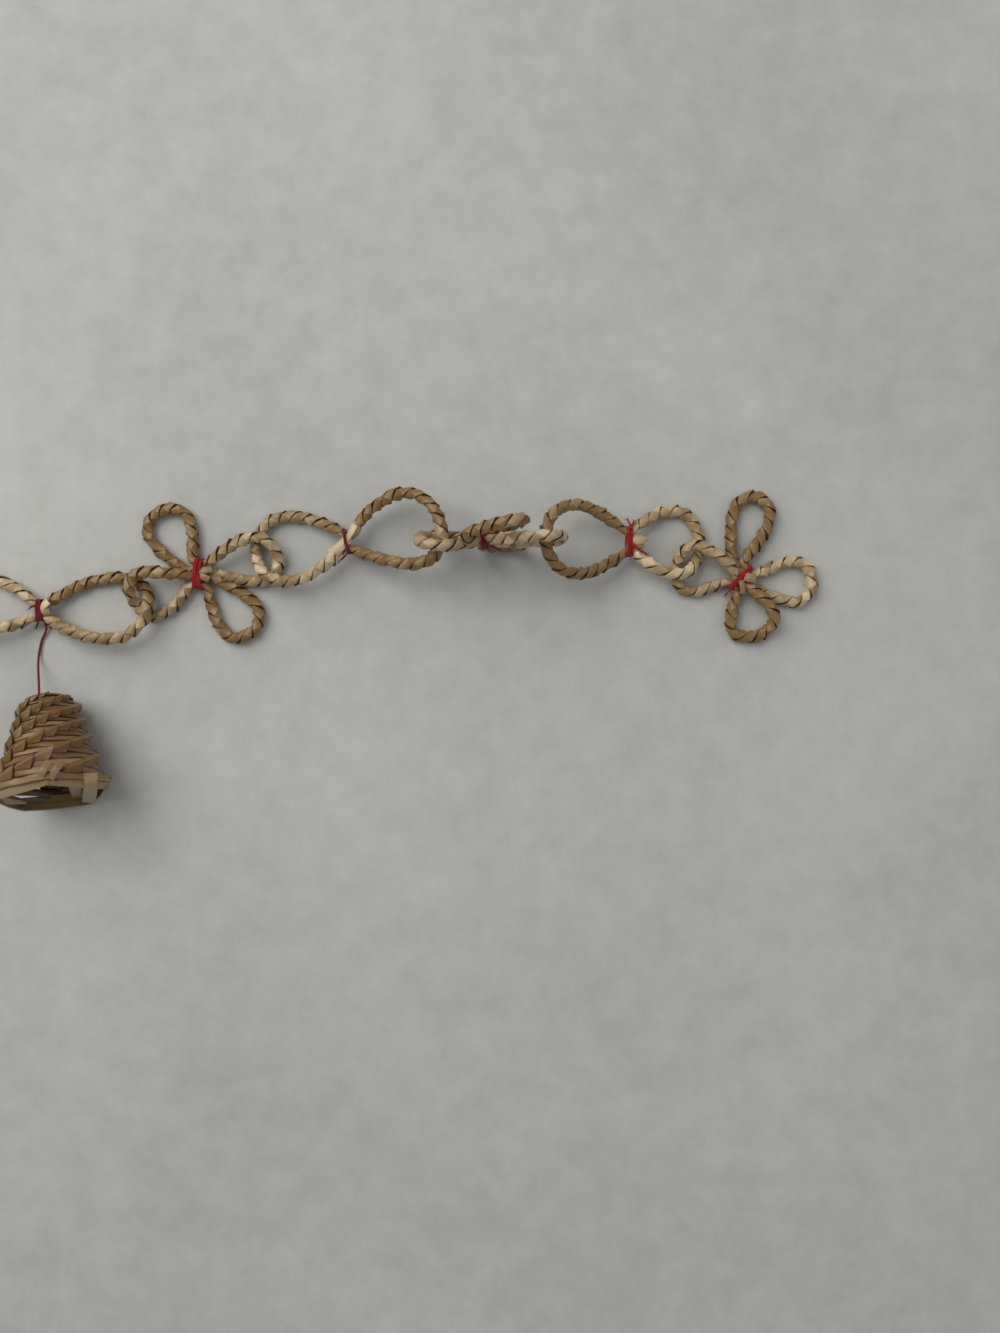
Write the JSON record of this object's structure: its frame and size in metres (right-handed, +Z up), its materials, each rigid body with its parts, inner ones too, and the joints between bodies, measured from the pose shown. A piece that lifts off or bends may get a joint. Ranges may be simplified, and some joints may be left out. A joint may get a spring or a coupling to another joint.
{
  "type": "straw ornament",
  "caption": "Hanging garland of twisted straw rope figure-eights and four-petal crosses, linked and bound with red thread, with a plaited straw bell on a thread.",
  "frame": {"origin": "on the surface the garland lies on, under the middle of its bounding box", "axes": "+X along the chain towards its right end, +Y away from the bell across the chain, +Z up off the surface"},
  "size_m": [0.2987, 0.0939, 0.0307],
  "materials": {
    "rope": "satin twisted two-ply straw rope",
    "plait": "satin plaited flat straw",
    "thread": "matt red cotton thread"
  },
  "bodies": {
    "root": {"bell": "plait", "bell_thread": "thread", "left_end_cross": "rope", "left_end_cross_binding": "thread", "bell_link": "rope", "bell_link_binding": "thread", "left_cross": "rope", "left_cross_binding": "thread", "left_link": "rope", "left_link_binding": "thread", "middle_cross": "rope", "middle_cross_binding": "thread", "right_link": "rope", "right_link_binding": "thread", "right_end_cross": "rope", "right_end_cross_binding": "thread"}
  },
  "joints": []
}
